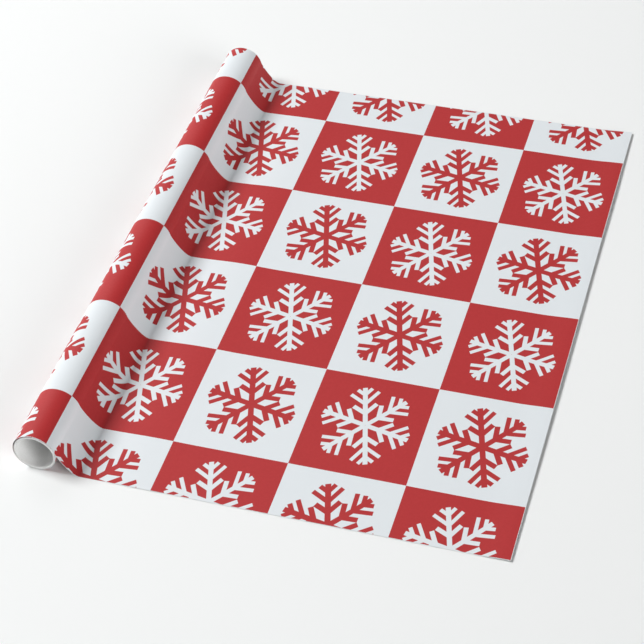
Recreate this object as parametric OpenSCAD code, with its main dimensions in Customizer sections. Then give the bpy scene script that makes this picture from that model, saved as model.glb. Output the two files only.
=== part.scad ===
// A roll of gift wrapping paper, partly unrolled on a table.
// One long paper web is wound on a spiral-wound greyboard core. Its outermost turn is loose,
// leaves the roll on the +X side and comes down on to the table, where the unrolled sheet lies.
// Millimetres. The origin is on the core's axis at mid-width. +Y runs along the axis, +Z is up,
// and the sheet lies towards +X.

/* [Paper web] */
// Width of the web, along the roll
web_width = 762; // [300:1:1000]
// Whole length of the web, from the core to the free edge
web_length = 1829; // [1400:1:2400]
// Thickness of the paper
web_t = 0.12; // [0.1:0.01:0.12]

/* [Core tube] */
// Inside diameter of the core
core_bore_d = 45.2; // [38:0.2:45.2]
// Thickness of one greyboard ply
ply_t = 0.28; // [0.2:0.01:0.28]

/* [Start tape] */
// Width of the tape that starts the web on the core, measured round the core
tape_w = 19; // [12:1:30]
// Thickness of the tape
tape_t = 0.05; // [0.03:0.01:0.08]

/* [Roll] */
// Outside diameter of the loose outermost turn
outer_turn_d = 51.2; // [51.2:0.1:60]
// Air between one packed turn and the next
turn_air = 0.01; // [0.005:0.005:0.01]
// How far the packed roll has sunk inside the loose turn
sag = 0.5; // [0:0.05:0.5]
// Direction in which it has sunk, in degrees from +X
sag_angle = -50; // [-90:5:0]
// How far the loose turn's inner end dives below the leaving web
inner_dive = 0.32; // [0.3:0.01:0.35]

/* [Unrolled sheet] */
// Where the web leaves the loose turn, in degrees up from +X round the turn's centre
leave_angle = 12; // [0:1:40]
// Distance along the table from the loose turn's centre to where the web reaches it
foot_reach = 51; // [45:1:80]
// Distance from the loose turn's centre to the free edge
sheet_reach = 539.3; // [200:0.1:900]
// Gap between the leaving web and the lying sheet, where the two bodies part
parting_gap = 0.2; // [0.1:0.05:0.3]

/* [Hidden] */

// Core: three plies, each on the one before
core_r = core_bore_d / 2;
ply_r = [for (i = [0:3]) core_r + i * ply_t];

// Outline steps: a facet is never more than this many degrees of a turn
turn_step = 6;
loose_step = 6;
tape_step = 2;
leave_steps = 24;

// The loose turn runs on inside the leaving web and dives a little over its last stretch
dive_from = 300;
dive_to = 370;

// Packed turns: an even spiral whose length is what the rest of the web leaves over. Its innermost
// facets clear the tape at their middles.
turn_pitch = web_t + turn_air;
turn_r0 = (ply_r[3] + tape_t + turn_air) / cos(turn_step / 2);
loose_r = outer_turn_d / 2;
loose_c = [-sag * cos(sag_angle), -sag * sin(sag_angle)];
table_z = loose_c[1] - loose_r;
loose_len = loose_r * (dive_to - leave_angle) * PI / 180;
leave_len = norm([foot_reach - loose_r * cos(leave_angle), loose_r * (1 + sin(leave_angle))]);
wound_len = web_length - loose_len - leave_len - (sheet_reach - foot_reach);
wound_turns_n = (sqrt(pow(turn_r0, 2) + wound_len * turn_pitch / PI) - turn_r0) / turn_pitch;

// The packed turns end where the loose turn's inner end is, and wind inwards from there
web_start = dive_to + 360 * wound_turns_n;

// Bezier handles of the leaving web, at the roll and at the table
leave_handle = 5;
foot_handle = 10;

greyboard = [0.72, 0.71, 0.69];
print_red = [0.72, 0.16, 0.16];
print_white = [0.9, 0.93, 0.94];
tape_clear = [0.85, 0.82, 0.7];

function polar(r, a) = [r * cos(a), r * sin(a)];

// Outline between two paths that are walked side by side
function strip(outer, inner) =
    concat(outer, [for (i = [len(inner) - 1:-1:0]) inner[i]]);

// Angles from a0 to a1 in even steps of at most step
function angles(a0, a1, step) =
    let (n = ceil((a1 - a0) / step)) [for (i = [0:n]) a0 + (a1 - a0) * i / n];

function loose_outer_r(a) =
    loose_r - inner_dive * max(0, (a - dive_from) / (dive_to - dive_from));

// The leaving web's printed side, and its direction, for u from 0 at the roll to 1 at the table
leave_p = let (start = loose_c + polar(loose_r, leave_angle))
    [start,
     start + leave_handle * [sin(leave_angle), -cos(leave_angle)],
     [loose_c[0] + foot_reach - foot_handle, table_z + web_t],
     [loose_c[0] + foot_reach, table_z + web_t]];
function leave_at(u) = pow(1 - u, 3) * leave_p[0] + 3 * u * pow(1 - u, 2) * leave_p[1]
    + 3 * pow(u, 2) * (1 - u) * leave_p[2] + pow(u, 3) * leave_p[3];
function leave_dir(u) = pow(1 - u, 2) * (leave_p[1] - leave_p[0])
    + 2 * u * (1 - u) * (leave_p[2] - leave_p[1]) + pow(u, 2) * (leave_p[3] - leave_p[2]);
function leave_inner(u) = let (d = leave_dir(u) / norm(leave_dir(u)))
    leave_at(u) - web_t * [-d[1], d[0]];

// Carries an XZ outline across the whole width of the web
module across_width() {
    translate([0, web_width / 2, 0]) rotate([90, 0, 0]) linear_extrude(web_width) children();
}

module ply(i) {
    color(greyboard) across_width() difference() {
        circle(r = ply_r[i + 1], $fn = 96);
        circle(r = ply_r[i], $fn = 96);
    }
}

module core_inner_ply() { ply(0); }
module core_middle_ply() { ply(1); }
module core_outer_ply() { ply(2); }

// The tape lies on the core, half of it under the web's inner end. Its inner facets touch the core
// at their middles.
module start_tape() {
    tape_angle = tape_w / ply_r[3] * 180 / PI;
    turns = angles(web_start - tape_angle / 2, web_start + tape_angle / 2, tape_step);
    color(tape_clear) across_width() polygon(strip(
        [for (a = turns) polar(ply_r[3] + tape_t, a)],
        [for (a = turns) polar(ply_r[3] / cos(tape_step / 2), a)]));
}

// Steps are whole, so that the facets of one turn lie on those of the turn before
module wound_turns() {
    turns = [for (a = [0:turn_step:360 * wound_turns_n]) a, 360 * wound_turns_n];
    color(print_white) across_width() polygon(strip(
        [for (a = turns) polar(turn_r0 + web_t + turn_pitch * a / 360, web_start - a)],
        [for (a = turns) polar(turn_r0 + turn_pitch * a / 360, web_start - a)]));
}

module loose_outer_turn() {
    turns = angles(leave_angle, dive_to, loose_step);
    color(print_red) across_width() translate(loose_c) polygon(strip(
        [for (a = turns) polar(loose_outer_r(a), a)],
        [for (a = turns) polar(loose_outer_r(a) - web_t, a)]));
}

module leaving_web() {
    steps = [for (i = [0:leave_steps]) i / leave_steps];
    color(print_red) across_width() polygon(strip(
        [for (u = steps) leave_at(u)],
        [for (u = steps) leave_inner(u)]));
}

module unrolled_sheet() {
    x0 = loose_c[0] + foot_reach + parting_gap;
    color(print_white) translate([x0, -web_width / 2, table_z])
        cube([loose_c[0] + sheet_reach - x0, web_width, web_t]);
}

core_inner_ply();
core_middle_ply();
core_outer_ply();
start_tape();
wound_turns();
loose_outer_turn();
leaving_web();
unrolled_sheet();
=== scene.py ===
"""Looks of the wrapping paper roll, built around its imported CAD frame.

The paper web is one continuous mesh: free edge, sheet on the table, curve up to the roll and loose
outer turn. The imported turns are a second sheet, wound as a real spiral on the three plies of the
core. Lengths are in metres. "Along" is the distance along the web, measured so that on the table it
is the distance from the loose turn's centre.
"""
import math

import bmesh
import bpy
from mathutils import Matrix, Vector


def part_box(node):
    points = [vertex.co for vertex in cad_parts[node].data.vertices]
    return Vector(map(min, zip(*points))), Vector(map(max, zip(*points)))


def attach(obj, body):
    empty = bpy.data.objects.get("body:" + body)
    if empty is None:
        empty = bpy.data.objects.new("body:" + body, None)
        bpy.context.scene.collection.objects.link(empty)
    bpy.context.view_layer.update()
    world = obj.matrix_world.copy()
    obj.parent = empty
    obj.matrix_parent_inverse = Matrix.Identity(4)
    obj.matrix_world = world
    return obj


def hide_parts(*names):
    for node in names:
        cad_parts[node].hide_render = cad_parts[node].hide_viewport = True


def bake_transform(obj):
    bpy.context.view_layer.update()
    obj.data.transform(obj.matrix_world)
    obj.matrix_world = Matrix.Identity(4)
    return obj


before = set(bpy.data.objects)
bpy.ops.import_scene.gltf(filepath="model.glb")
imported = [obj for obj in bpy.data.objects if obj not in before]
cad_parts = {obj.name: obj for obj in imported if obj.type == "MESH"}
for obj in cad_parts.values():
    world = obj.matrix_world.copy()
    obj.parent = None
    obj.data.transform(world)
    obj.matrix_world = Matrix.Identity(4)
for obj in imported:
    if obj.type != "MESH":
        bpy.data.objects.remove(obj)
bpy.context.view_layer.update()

MM = 0.001

# ---------------------------------------------------------------- sizes, from the frame

sheet_lo, sheet_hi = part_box("unrolled_sheet")
turn_lo, turn_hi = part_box("loose_outer_turn")
foot_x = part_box("leaving_web")[1].x

table_z = sheet_lo.z
web_t = sheet_hi.z - sheet_lo.z
half_width = sheet_hi.y
free_edge_x = sheet_hi.x
loose_r = (turn_hi.z - table_z) / 2
loose_x = turn_lo.x + loose_r
loose_z = table_z + loose_r

# From the loose turn's centre to where the web reaches the table, and to the free edge
foot_reach = foot_x - loose_x
sheet_reach = free_edge_x - loose_x

PLIES = ("core_inner_ply", "core_middle_ply", "core_outer_ply")
ply_outer_r = [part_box(ply)[1].x for ply in PLIES]
ply_t = ply_outer_r[1] - ply_outer_r[0]
core_r = ply_outer_r[-1]

# ---------------------------------------------------------------- shape of the paper and the core

# The loose turn and the leaving web, as in the CAD
LEAVE_ANGLE = math.radians(12)
DIVE_FROM = math.radians(300)
DIVE_TO = math.radians(370)
INNER_DIVE = 0.32 * MM
LEAVE_HANDLE = 5 * MM
FOOT_HANDLE = 10 * MM

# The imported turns, as in the CAD
WEB_LENGTH = 1829 * MM
TAPE_T = 0.05 * MM
TURN_AIR = 0.01 * MM
CAD_STEP = math.radians(6)

# The sheet doesn't lie dead flat. It rises a little off the table past the foot
RISE_FROM = 75 * MM
RISE_TO = 150 * MM
RISE = 1.6 * MM

# It swells just past the foot
SWELL_AT = 105 * MM
SWELL_REACH = 55 * MM
SWELL = 1.75 * MM

# It sinks by a share of its height towards its long edges
SINK_FROM = 200 * MM
SINK_SHARE = 0.7

# It curls up at the free edge
EDGE_RISE_FROM = 495 * MM
EDGE_RISE = 2.0 * MM

# And it waves: each wave's share of the height, its radians per metre in x and in y, and its phase
WAVE = 0.35 * MM
WAVES = (
    (1.0, 9.1, 5.3, 0.6),
    (0.7, -6.2, 14.7, 0.0),
)

# The stretch of the web that lengthens as the roll backs away
BLEND_START = Vector((loose_x + 158 * MM, 0, table_z))

# Steps round the loose turn, along the leaving web, round each packed turn and round the core
TURN_STEPS = 140
LEAVE_STEPS = 44
PACKED_STEPS = 72
TUBE_STEPS = 144

# Steps along the sheet, where the web lengthens and where it doesn't
NEAR_STEP = 2.5 * MM
FAR_STEP = 6 * MM

# The last point before the free edge is at least this far from it
LEAST_STEP = 0.001 * MM

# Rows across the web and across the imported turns
WEB_ROWS = 96
PACKED_ROWS = 8

# The core's cut ends are very slightly softened
BOARD_SOFT = 0.05 * MM

# An edge that turns more than this stays crisp under smooth shading
CRISP_ANGLE = math.radians(40)

# ---------------------------------------------------------------- print on the paper

CELL_LENGTH = 135.49 * MM
CELL_WIDTH = 154.03 * MM
FIRST_COLUMN = 0.06 * MM
FIRST_ROW = -303.94 * MM

# The print is a little out of square with the web
PRINT_SKEW = 0.0028

# It stops just short of the cut edges, fading from the second of these to the first
CUT_MARGIN = (0.45 * MM, 0.55 * MM)

# Over the curve the print slips back a little, so the roll's first column is further round it
PRINT_SLIP = 5.8 * MM

# From this far past the foot the print keeps to its place on the table
PRINT_SETTLES = 2 * MM

# Snowflake, in cells: its arms are turned and leaned a little in the cell
FLAKE_ARMS = math.radians(-10.15)
FLAKE_STRETCH = 1.0073
FLAKE_LEAN = -0.0492
STEM = {"length": 0.3986, "half": 0.0223}
BRANCHES = (
    {"from": 0.1242, "length": 0.1324, "angle": math.radians(47.9), "half": 0.0213},
    {"from": 0.2247, "length": 0.1661, "angle": math.radians(45.6), "half": 0.0183},
    {"from": 0.3213, "length": 0.0876, "angle": math.radians(45.2), "half": 0.0183},
)
PRINT_EDGE = 0.0012

# The ink spreads, so red strokes come out a little fatter and white ones a little thinner
INK_GAIN = 0.0019

# The print's edges are ragged by up to this much
RAGGED = 0.08 * MM

# ---------------------------------------------------------------- colours and textures

INK_RED = (0.455, 0.0195, 0.0215)
PAPER_WHITE = (0.76, 0.80, 0.825)
PAPER_BACK = (0.80, 0.80, 0.79)
BOARD_GREY = (0.88, 0.878, 0.87)
BOARD_SPECK = (0.22, 0.19, 0.16)
BOARD_SEAM = (0.2, 0.19, 0.18)
TAPE_DARK = (0.72, 0.68, 0.55)
TAPE_LIGHT = (0.84, 0.8, 0.68)
FLOOR = {"Base_Color": (0.9, 0.91, 0.905), "Roughness": 0.9, "Specular_IOR_Level": 0.2}

# Each colour's tone, from its noise's low spots to its high ones
INK_TONES = (0.93, 1.07)
WHITE_TONES = (0.985, 1.015)
BACK_TONES = (0.94, 1.05)
BOARD_TONES = (0.86, 1.1)

# Noises, with their scale per metre
FIBRES = {"scale": 2600, "detail": 3, "roughness": 0.6}
FORMATION = {"scale": 240}
PRINT_FRINGE = {"scale": 900}
INK_MOTTLE = {"scale": 320, "detail": 3, "roughness": 0.6}
SHEET_CLOUD = {"scale": 14}
PLAIN_SPECK = {"scale": 700, "detail": 3, "roughness": 0.65}
BOARD_FIBRES = {"scale": 900, "detail": 4, "roughness": 0.65}
BOARD_SPECKS = {"scale": 1500, "detail": 1, "roughness": 0.4}
TAPE_BRUSH = {"scale": 500}

# How high the grain of each surface stands, and how strongly it shows
PRINTED_GRAIN = (0.02 * MM, 0.45)
PLAIN_GRAIN = (0.03 * MM, 0.45)
BOARD_GRAIN = (0.06 * MM, 0.6)
TAPE_GRAIN = (0.01 * MM, 0.3)

# The formation's height in the grain of paper, where the fibres' is 1
FORMATION_HEIGHT = 0.8

# Roughness, from the noise's low spots to its high ones
PRINTED_ROUGHNESS = (0.62, 0.52)
PLAIN_ROUGHNESS = (0.75, 0.88)
BOARD_ROUGHNESS = (0.82, 0.94)
TAPE_ROUGHNESS = (0.28, 0.42)

# Ink is rougher than bare paper, by this much of the printed side's span
INK_DULLS = 0.25

# Roughness follows the noise between these two values, on all but the printed side
SPREAD = (0.2, 0.8)

# A seam's half width, as a share of its lead: full up to the first, gone at the second
SEAM_HALF = (0.003, 0.009)

# How deep a seam is, where the board's fibres are 1 high
SEAM_DEPTH = 3.0

# The board's specks fade in as their noise goes from the first of these to the second
SPECK_FROM = (0.70, 0.76)

# How much of its own colour a seam and a speck take
SEAM_SHARE = 0.6
SPECK_SHARE = 0.45

# The plies from the inner one out: piece, lead of its seam in metres, where the seam starts as a part
# of a turn, and tone
BOARDS = (
    ("core_inner_board", 0.19, 0.1, 1.0),
    ("core_middle_board", 0.2, 0.4, 0.93),
    ("core_outer_board", 0.21, 0.7, 1.0),
)

# ---------------------------------------------------------------- settings of the stage and the view

FLOOR_REACH = 9.0

# The key light points at the subject. A light's strength is what it gives a white surface that faces
# it, where 1 is full white
SUBJECT = Vector((0.25, 0.0, 0.0))
KEY_FROM = Vector((-0.72, 0.0, 0.69))
KEY_DISTANCE = 8.0
KEY_SIZE = 2.6
KEY_STRENGTH = 0.96

# Each sun's name, the direction it shines from, how wide it is, and its strength
SUNS = (
    ("fill", Vector((0.78, -0.48, 0.25)), math.radians(33), 0.49),
    ("back", Vector((-0.45, 0.6, 0.66)), math.radians(32), 0.12),
)

# Between two heights of the view direction the room's light goes from its low to its high strength
ROOM_COLOUR = (0.98, 0.99, 1.0, 1)
ROOM_HEIGHTS = (0.1, 0.3)
ROOM_STRENGTHS = (0.6, 0.13)

# The camera's heading is measured from +X, and it looks down from the level
CAMERA_PLACE = (0.77398, -1.71396, 1.57229)
CAMERA_HEADING = math.radians(107.956)
CAMERA_DOWN = math.radians(42.775)
CAMERA_ROLL = math.radians(-2.631)
CAMERA_LENS = 109.604
CAMERA_SENSOR = 36
CAMERA_CLIP = (0.05, 50)

# ---------------------------------------------------------------- small helpers


def smooth(t):
    t = min(1.0, max(0.0, t))
    return t * t * (3 - 2 * t)


def new_object(name, data):
    obj = bpy.data.objects.new(name, data)
    bpy.context.scene.collection.objects.link(obj)
    return obj


class Nodes:
    """Short calls for building a material's node tree."""

    def __init__(self, name):
        self.material = bpy.data.materials.new(name)
        self.material.use_nodes = True
        self.tree = self.material.node_tree
        self.tree.nodes.clear()
        self.shader = self.tree.nodes.new("ShaderNodeBsdfPrincipled")
        output = self.tree.nodes.new("ShaderNodeOutputMaterial")
        self.tree.links.new(self.shader.outputs[0], output.inputs[0])

    def put(self, value, socket):
        if isinstance(value, bpy.types.NodeSocket):
            self.tree.links.new(value, socket)
        else:
            socket.default_value = value

    def add(self, kind, settings=None, **inputs):
        node = self.tree.nodes.new(kind)
        for key, value in (settings or {}).items():
            setattr(node, key, value)
        for key, value in inputs.items():
            self.put(value, node.inputs[key.replace("_", " ")])
        return node

    def math(self, operation, *values):
        node = self.tree.nodes.new("ShaderNodeMath")
        node.operation = operation
        for value, socket in zip(values, node.inputs):
            self.put(value, socket)
        return node.outputs[0]

    def place(self):
        """The point in the object's own axes."""
        return self.add("ShaderNodeTexCoord").outputs["Object"]

    def split(self, vector):
        return self.add("ShaderNodeSeparateXYZ", Vector=vector).outputs

    def noise(self, vector, scale, detail=2.0, roughness=0.5):
        node = self.add("ShaderNodeTexNoise", Scale=scale, Detail=detail, Roughness=roughness)
        self.put(vector, node.inputs["Vector"])
        return node.outputs["Fac"]

    def mix(self, factor, a, b):
        node = self.tree.nodes.new("ShaderNodeMix")
        node.data_type = "RGBA"
        self.put(factor, node.inputs["Factor"])
        for value, socket in ((a, node.inputs[6]), (b, node.inputs[7])):
            self.put((*value, 1) if isinstance(value, tuple) else value, socket)
        return node.outputs[2]

    def shade(self, factor, colour, dark, light):
        """The colour times dark where the factor is 0, and times light where it is 1."""
        return self.mix(factor, tuple(dark * c for c in colour), tuple(light * c for c in colour))

    def ramp(self, value, low, high, to_low=0.0, to_high=1.0):
        node = self.add("ShaderNodeMapRange", {"interpolation_type": "SMOOTHSTEP"})
        for socket, given in zip(node.inputs, (value, low, high, to_low, to_high)):
            self.put(given, socket)
        return node.outputs[0]

    def bump(self, height, distance, strength):
        node = self.add("ShaderNodeBump", Height=height, Distance=distance, Strength=strength)
        return node.outputs[0]

    def set(self, **inputs):
        for key, value in inputs.items():
            if isinstance(value, tuple) and len(value) == 3:
                value = (*value, 1)
            self.put(value, self.shader.inputs[key.replace("_", " ")])


# ---------------------------------------------------------------- materials


def paper_grain(n, place, grain):
    """The grain of paper: fine felted fibres over a slightly cloudy formation."""
    fibres = n.noise(place, **FIBRES)
    cloud = n.noise(place, **FORMATION)
    height = n.math("ADD", fibres, n.math("MULTIPLY", cloud, FORMATION_HEIGHT))
    return n.bump(height, *grain)


def in_band(n, distance, half, gain):
    """1 within half of a line's middle, falling to 0 over the print's soft edge. Gain widens it."""
    off_middle = n.math("SUBTRACT", n.math("ABSOLUTE", distance), gain)
    return n.ramp(off_middle, half - PRINT_EDGE, half + PRINT_EDGE, 1.0, 0.0)


def stroke(n, ahead, beside, length, half, gain):
    """1 on a straight stroke. Ahead is measured from its root, and beside from its middle line."""
    middle = length / 2
    return n.math(
        "MULTIPLY",
        in_band(n, n.math("SUBTRACT", ahead, middle), middle, gain),
        in_band(n, beside, half, gain),
    )


def snowflake(n, across_cell, along_cell, gain):
    """1 on the snowflake, 0 off it. The point is in cells, from the cell's centre."""
    lean = n.math("MULTIPLY", across_cell, FLAKE_LEAN)
    x = n.math("MULTIPLY_ADD", along_cell, FLAKE_STRETCH, lean)
    y = n.math("DIVIDE", across_cell, FLAKE_STRETCH)
    radius = n.math("SQRT", n.math("MULTIPLY_ADD", x, x, n.math("MULTIPLY", y, y)))
    turn = n.math("SUBTRACT", n.math("ARCTAN2", y, x), FLAKE_ARMS)

    # The six arms and both sides of an arm are alike, so one side of one arm is drawn
    sixth = math.pi / 3
    nearest = n.math("ROUND", n.math("DIVIDE", turn, sixth))
    turn = n.math("ABSOLUTE", n.math("SUBTRACT", turn, n.math("MULTIPLY", nearest, sixth)))
    out = n.math("MULTIPLY", radius, n.math("COSINE", turn))
    side = n.math("MULTIPLY", radius, n.math("SINE", turn))

    flake = stroke(n, out, side, STEM["length"], STEM["half"], gain)
    for branch in BRANCHES:
        c, s = math.cos(branch["angle"]), math.sin(branch["angle"])
        from_root = n.math("SUBTRACT", out, branch["from"])
        ahead = n.math("MULTIPLY_ADD", from_root, c, n.math("MULTIPLY", side, s))
        beside = n.math("MULTIPLY_ADD", from_root, -s, n.math("MULTIPLY", side, c))
        one = stroke(n, ahead, beside, branch["length"], branch["half"], gain)
        flake = n.math("MAXIMUM", flake, one)
    return flake


def printed_paper():
    """Matt paper printed with a red and white check, each square holding a snowflake."""
    n = Nodes("printed_paper")
    place = n.place()
    place_x = n.split(place)[0]
    web = n.split(n.add("ShaderNodeUVMap", {"uv_map": "web"}).outputs[0])
    web_along, across = web[0], web[1]

    # On the table the print keeps to the place, so that it doesn't stretch as the web lengthens
    on_table = n.math("GREATER_THAN", web_along, foot_reach + PRINT_SETTLES)
    from_centre = n.math("SUBTRACT", place_x, loose_x)
    step = n.math("SUBTRACT", from_centre, web_along)
    along = n.math("MULTIPLY_ADD", on_table, step, web_along)

    ragged = n.math("MULTIPLY_ADD", n.noise(place, **PRINT_FRINGE), 2 * RAGGED, -RAGGED)
    squared = n.math("MULTIPLY_ADD", across, -PRINT_SKEW, along)
    u = n.math("SUBTRACT", n.math("ADD", squared, ragged), FIRST_COLUMN)
    u = n.math("DIVIDE", u, CELL_LENGTH)
    v = n.math("SUBTRACT", n.math("ADD", across, ragged), FIRST_ROW)
    v = n.math("DIVIDE", v, CELL_WIDTH)
    cell = n.math("ADD", n.math("FLOOR", u), n.math("FLOOR", v))
    odd = n.math("FLOORED_MODULO", cell, 2.0)
    along_cell = n.math("SUBTRACT", n.math("FRACT", u), 0.5)
    across_cell = n.math("SUBTRACT", n.math("FRACT", v), 0.5)
    gain = n.math("MULTIPLY_ADD", odd, 2 * INK_GAIN, -INK_GAIN)
    flake = snowflake(n, across_cell, along_cell, gain)

    # Red where the square is even and off its flake, or odd and on it
    red = n.math("ABSOLUTE", n.math("SUBTRACT", n.math("SUBTRACT", 1.0, odd), flake))
    edge_gap = n.math("SUBTRACT", half_width, n.math("ABSOLUTE", across))
    end_gap = n.math("SUBTRACT", sheet_reach, along)
    gap = n.math("MINIMUM", edge_gap, end_gap)
    inside = n.ramp(n.math("ADD", gap, ragged), *CUT_MARGIN)
    red = n.math("MULTIPLY", red, inside)

    # Ink lies a little unevenly, and the paper shows its formation
    mottle = n.noise(place, **INK_MOTTLE)
    cloud = n.noise(place, **SHEET_CLOUD)
    ink = n.shade(mottle, INK_RED, *INK_TONES)
    white = n.shade(cloud, PAPER_WHITE, *WHITE_TONES)
    n.set(Base_Color=n.mix(red, white, ink))
    gloss = n.math("ADD", mottle, n.math("MULTIPLY", red, -INK_DULLS))
    n.set(Roughness=n.ramp(gloss, 0.0, 1.0, *PRINTED_ROUGHNESS))
    n.set(Normal=paper_grain(n, place, PRINTED_GRAIN))
    return n.material


def plain_paper():
    """The unprinted side and the cut edges of the paper."""
    n = Nodes("plain_paper")
    place = n.place()
    speck = n.noise(place, **PLAIN_SPECK)
    n.set(Base_Color=n.shade(speck, PAPER_BACK, *BACK_TONES))
    n.set(Roughness=n.ramp(speck, *SPREAD, *PLAIN_ROUGHNESS))
    n.set(Normal=paper_grain(n, place, PLAIN_GRAIN))
    return n.material


def greyboard(name, lead, phase, tone):
    """Grey wound board: recycled fibre with specks, and the helical butt seam of its strip."""
    n = Nodes(name)
    place = n.place()
    x, y, z = n.split(place)
    turn = n.math("DIVIDE", n.math("ARCTAN2", z, x), 2 * math.pi)
    wind = n.math("ADD", n.math("DIVIDE", y, lead), n.math("ADD", turn, phase))
    off_seam = n.math("ABSOLUTE", n.math("SUBTRACT", n.math("FRACT", wind), 0.5))
    seam = n.ramp(off_seam, *SEAM_HALF, 1.0, 0.0)

    fibres = n.noise(place, **BOARD_FIBRES)
    specks = n.ramp(n.noise(place, **BOARD_SPECKS), *SPECK_FROM)
    base = n.shade(fibres, BOARD_GREY, *(tone * t for t in BOARD_TONES))
    base = n.mix(n.math("MULTIPLY", specks, SPECK_SHARE), base, BOARD_SPECK)
    base = n.mix(n.math("MULTIPLY", seam, SEAM_SHARE), base, BOARD_SEAM)
    n.set(Base_Color=base)
    n.set(Roughness=n.ramp(fibres, *SPREAD, *BOARD_ROUGHNESS))
    height = n.math("SUBTRACT", fibres, n.math("MULTIPLY", seam, SEAM_DEPTH))
    n.set(Normal=n.bump(height, *BOARD_GRAIN))
    return n.material


def tape_film():
    """Clear office tape with its slightly yellow, brushed look."""
    n = Nodes("tape_film")
    brushed = n.noise(n.place(), **TAPE_BRUSH)
    n.set(Base_Color=n.mix(brushed, TAPE_DARK, TAPE_LIGHT))
    n.set(Roughness=n.ramp(brushed, *SPREAD, *TAPE_ROUGHNESS))
    n.set(Normal=n.bump(brushed, *TAPE_GRAIN))
    return n.material


def floor_white():
    """The table, a plain matt surface."""
    n = Nodes("floor")
    n.set(**FLOOR)
    return n.material


# ---------------------------------------------------------------- the paper web


def loose_radius(angle):
    return loose_r - INNER_DIVE * max(0.0, (angle - DIVE_FROM) / (DIVE_TO - DIVE_FROM))


def leaving_point(u):
    """The printed side of the leaving web, from the roll at 0 to the table at 1."""
    c, s = math.cos(LEAVE_ANGLE), math.sin(LEAVE_ANGLE)
    start = Vector((loose_x + loose_r * c, loose_z + loose_r * s))
    down = Vector((s, -c))
    foot = Vector((foot_x, table_z + web_t))
    points = (start, start + LEAVE_HANDLE * down, foot - Vector((FOOT_HANDLE, 0)), foot)
    weights = ((1 - u) ** 3, 3 * u * (1 - u) ** 2, 3 * u * u * (1 - u), u**3)
    return sum((w * p for w, p in zip(weights, points)), Vector((0, 0)))


def web_path():
    """Points (x, z) of the web's printed side, from the loose turn's inner end to the free edge."""
    path = []
    for i in range(TURN_STEPS):
        angle = DIVE_TO + (LEAVE_ANGLE - DIVE_TO) * i / TURN_STEPS
        r = loose_radius(angle)
        path.append(Vector((loose_x + r * math.cos(angle), loose_z + r * math.sin(angle))))
    path += [leaving_point(i / LEAVE_STEPS) for i in range(LEAVE_STEPS)]
    x = foot_x
    while x < free_edge_x - LEAST_STEP:
        path.append(Vector((x, table_z + web_t)))
        x += NEAR_STEP if x < BLEND_START.x else FAR_STEP
    path.append(Vector((free_edge_x, table_z + web_t)))
    return path


def lift(x, y):
    """How far the sheet stands off the table."""
    from_centre = x - loose_x
    rise = smooth((from_centre - RISE_FROM) / (RISE_TO - RISE_FROM))
    edge = smooth((from_centre - EDGE_RISE_FROM) / (sheet_reach - EDGE_RISE_FROM))
    swell = smooth(1 - abs(from_centre - SWELL_AT) / SWELL_REACH)
    sink = smooth((abs(y) - SINK_FROM) / (half_width - SINK_FROM))
    waves = sum(
        share * math.sin(per_x * from_centre + per_y * y + phase)
        for share, per_x, per_y, phase in WAVES
    )
    middle = rise * (RISE + WAVE * waves) + SWELL * swell
    return middle * (1 - SINK_SHARE * sink) + EDGE_RISE * edge


def lengths(path):
    """The distance along the path at each of its points."""
    out = [0.0]
    for a, b in zip(path, path[1:]):
        out.append(out[-1] + (b - a).length)
    return out


def mark_sharp(mesh):
    """Smooth shading, with the mesh's crisp edges kept crisp."""
    for polygon in mesh.polygons:
        polygon.use_smooth = True
    bm = bmesh.new()
    bm.from_mesh(mesh)
    for edge in bm.edges:
        if len(edge.link_faces) == 2 and edge.calc_face_angle(0) > CRISP_ANGLE:
            edge.smooth = False
    bm.to_mesh(mesh)
    bm.free()


def strip_mesh(name, path, along, rows, raise_by=None):
    """A closed strip of paper: path is its printed side in x and z, carried across in rows.

    Slot 0 is the printed side, and slot 1 is the back and the cut edges.
    """
    count = len(path)
    vertices, uvs = [], []
    for side in (0, 1):
        for j in range(rows + 1):
            y = -half_width + 2 * half_width * j / rows
            top = [Vector((p.x, p.y + (raise_by(p.x, y) if raise_by else 0))) for p in path]
            for i, p in enumerate(top):
                ahead = top[min(i + 1, count - 1)] - top[max(i - 1, 0)]
                normal = Vector((-ahead.y, ahead.x)).normalized()
                q = p - normal * web_t * side
                vertices.append((q.x, y, q.y))
                uvs.append((along[i], y))
    back = (rows + 1) * count

    faces, slots = [], []

    def add(a, b, c, d, slot):
        faces.append((a, b, c, d))
        slots.append(slot)

    # The printed side and the back
    for j in range(rows):
        for i in range(count - 1):
            a = j * count + i
            b, c, d = a + 1, a + 1 + count, a + count
            add(a, b, c, d, 0)
            add(back + d, back + c, back + b, back + a, 1)

    # The two long edges
    for i in range(count - 1):
        a = i
        add(a, back + a, back + a + 1, a + 1, 1)
        a = rows * count + i
        add(a, a + 1, back + a + 1, back + a, 1)

    # The two ends of the path
    for j in range(rows):
        a = j * count
        add(a, a + count, back + a + count, back + a, 1)
        a = j * count + count - 1
        add(a, back + a, back + a + count, a + count, 1)

    mesh = bpy.data.meshes.new(name)
    mesh.from_pydata(vertices, [], faces)
    layer = mesh.uv_layers.new(name="web")
    for loop in mesh.loops:
        layer.data[loop.index].uv = uvs[loop.vertex_index]
    for polygon, slot in zip(mesh.polygons, slots):
        polygon.material_index = slot
    mark_sharp(mesh)
    return mesh


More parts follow.
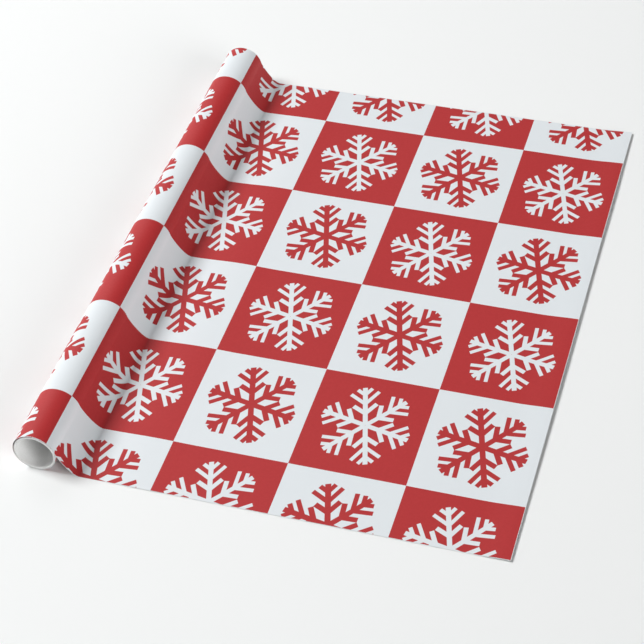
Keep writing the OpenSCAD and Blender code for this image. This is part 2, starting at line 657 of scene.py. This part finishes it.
def make_paper_web(printed, plain):
    """The web from the loose turn's inner end to the free edge.

    Gives back how far along its inner end is, and its length.
    """
    path = web_path()
    run = lengths(path)
    shift = sheet_reach - run[-1]
    curve = foot_reach - (shift + run[TURN_STEPS])
    along = []
    for s in run:
        on_curve = smooth((foot_reach - (s + shift)) / curve)
        along.append(s + shift + PRINT_SLIP * on_curve)
    obj = new_object("paper_web", strip_mesh("paper_web", path, along, WEB_ROWS, lift))
    obj.data.materials.append(printed)
    obj.data.materials.append(plain)
    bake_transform(obj)
    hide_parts("loose_outer_turn", "leaving_web", "unrolled_sheet")
    return along[0], run[-1]


def make_wound_paper(printed, plain, outer_along, shown_length):
    """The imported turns: an even spiral from the core out to the loose turn's inner end."""
    pitch = web_t + TURN_AIR
    first_r = (core_r + TAPE_T + TURN_AIR) / math.cos(CAD_STEP / 2)
    wound = WEB_LENGTH - shown_length

    # How many turns the wound length makes, measured along the middle of the paper
    middle_r = first_r + web_t / 2
    turns = (math.sqrt(middle_r**2 + wound * pitch / math.pi) - middle_r) / pitch
    steps = math.ceil(turns * PACKED_STEPS)
    path = []
    for i in range(steps + 1):
        from_core = turns * i / steps
        r = first_r + web_t + pitch * from_core
        angle = DIVE_TO + 2 * math.pi * (turns - from_core)
        path.append(Vector((r * math.cos(angle), r * math.sin(angle))))
    run = lengths(path)
    along = [outer_along - run[-1] + s for s in run]
    obj = new_object("wound_paper", strip_mesh("wound_paper", path, along, PACKED_ROWS))
    obj.data.materials.append(printed)
    obj.data.materials.append(plain)
    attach(obj, "roll")
    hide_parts("wound_turns")


# ---------------------------------------------------------------- the core


def make_board_tube(name, node, inner_r, outer_r, material):
    """One ply of the core as a fine tube with its cut ends very slightly softened."""
    # Radius, and how far short of the cut end
    cut = (
        (inner_r, BOARD_SOFT),
        (inner_r + BOARD_SOFT, 0),
        (outer_r - BOARD_SOFT, 0),
        (outer_r, BOARD_SOFT),
    )
    section = [(r, inset - half_width) for r, inset in cut]
    section += [(r, half_width - inset) for r, inset in reversed(cut)]
    size = len(section)
    vertices = []
    for i in range(TUBE_STEPS):
        angle = 2 * math.pi * i / TUBE_STEPS
        c, s = math.cos(angle), math.sin(angle)
        vertices += [(r * c, y, r * s) for r, y in section]
    faces = []
    for i in range(TUBE_STEPS):
        j = (i + 1) % TUBE_STEPS
        for k in range(size):
            m = (k + 1) % size
            faces.append((i * size + k, j * size + k, j * size + m, i * size + m))
    mesh = bpy.data.meshes.new(name)
    mesh.from_pydata(vertices, [], faces)
    mark_sharp(mesh)
    obj = new_object(name, mesh)
    mesh.materials.append(material)
    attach(obj, "roll")
    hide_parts(node)


# ---------------------------------------------------------------- stage, light and camera


def make_stage():
    corners = ((-1, -1), (1, -1), (1, 1), (-1, 1))
    points = [(FLOOR_REACH * x, FLOOR_REACH * y, table_z) for x, y in corners]
    mesh = bpy.data.meshes.new("floor")
    mesh.from_pydata(points, [], [(0, 1, 2, 3)])
    floor = new_object("floor", mesh)
    mesh.materials.append(floor_white())


def make_room():
    """A pale room around it all, bright low down and dimmer above."""
    world = bpy.data.worlds.new("studio")
    world.use_nodes = True
    tree = world.node_tree
    sky = tree.nodes["Background"]
    towards = tree.nodes.new("ShaderNodeTexCoord")
    split = tree.nodes.new("ShaderNodeSeparateXYZ")
    dim = tree.nodes.new("ShaderNodeMapRange")
    for socket, value in zip(dim.inputs[1:5], ROOM_HEIGHTS + ROOM_STRENGTHS):
        socket.default_value = value
    tree.links.new(towards.outputs["Generated"], split.inputs[0])
    tree.links.new(split.outputs[2], dim.inputs[0])
    tree.links.new(dim.outputs[0], sky.inputs["Strength"])
    sky.inputs["Color"].default_value = ROOM_COLOUR
    bpy.context.scene.world = world


def aim(obj, direction):
    """Turns a light so that it shines from the given direction."""
    obj.rotation_mode = "QUATERNION"
    obj.rotation_quaternion = (-direction).to_track_quat("-Z", "Y")


def make_lights():
    """A soft key from the left, a low fill from the right and a weak light from the back."""
    key = bpy.data.lights.new("key", "AREA")
    key.size = KEY_SIZE
    key.energy = KEY_STRENGTH * math.pi**2 * KEY_DISTANCE**2
    obj = new_object("key", key)
    direction = KEY_FROM.normalized()
    obj.location = SUBJECT + direction * KEY_DISTANCE
    aim(obj, direction)

    for name, place, angle, strength in SUNS:
        sun = bpy.data.lights.new(name, "SUN")
        sun.angle = angle
        sun.energy = strength * math.pi
        aim(new_object(name, sun), place.normalized())


def make_camera():
    camera = bpy.data.cameras.new("camera")
    camera.sensor_width = CAMERA_SENSOR
    camera.lens = CAMERA_LENS
    camera.clip_start, camera.clip_end = CAMERA_CLIP
    obj = new_object("camera", camera)
    turn = Matrix.Rotation(CAMERA_HEADING - math.pi / 2, 4, "Z")
    tilt = Matrix.Rotation(math.pi / 2 - CAMERA_DOWN, 4, "X")
    spin = Matrix.Rotation(CAMERA_ROLL, 4, "Z")
    obj.matrix_world = Matrix.Translation(CAMERA_PLACE) @ turn @ tilt @ spin
    bpy.context.scene.camera = obj


# ---------------------------------------------------------------- the scene

make_camera()
make_room()
make_lights()
make_stage()
bpy.context.scene.view_settings.view_transform = "Standard"

printed = printed_paper()
plain = plain_paper()
outer_along, shown_length = make_paper_web(printed, plain)

for (name, lead, phase, tone), ply, outer_r in zip(BOARDS, PLIES, ply_outer_r):
    board = greyboard(name, lead, phase, tone)
    make_board_tube(name, ply, outer_r - ply_t, outer_r, board)
make_wound_paper(printed, plain, outer_along, shown_length)

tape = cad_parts["start_tape"]
tape.data.materials.clear()
tape.data.materials.append(tape_film())
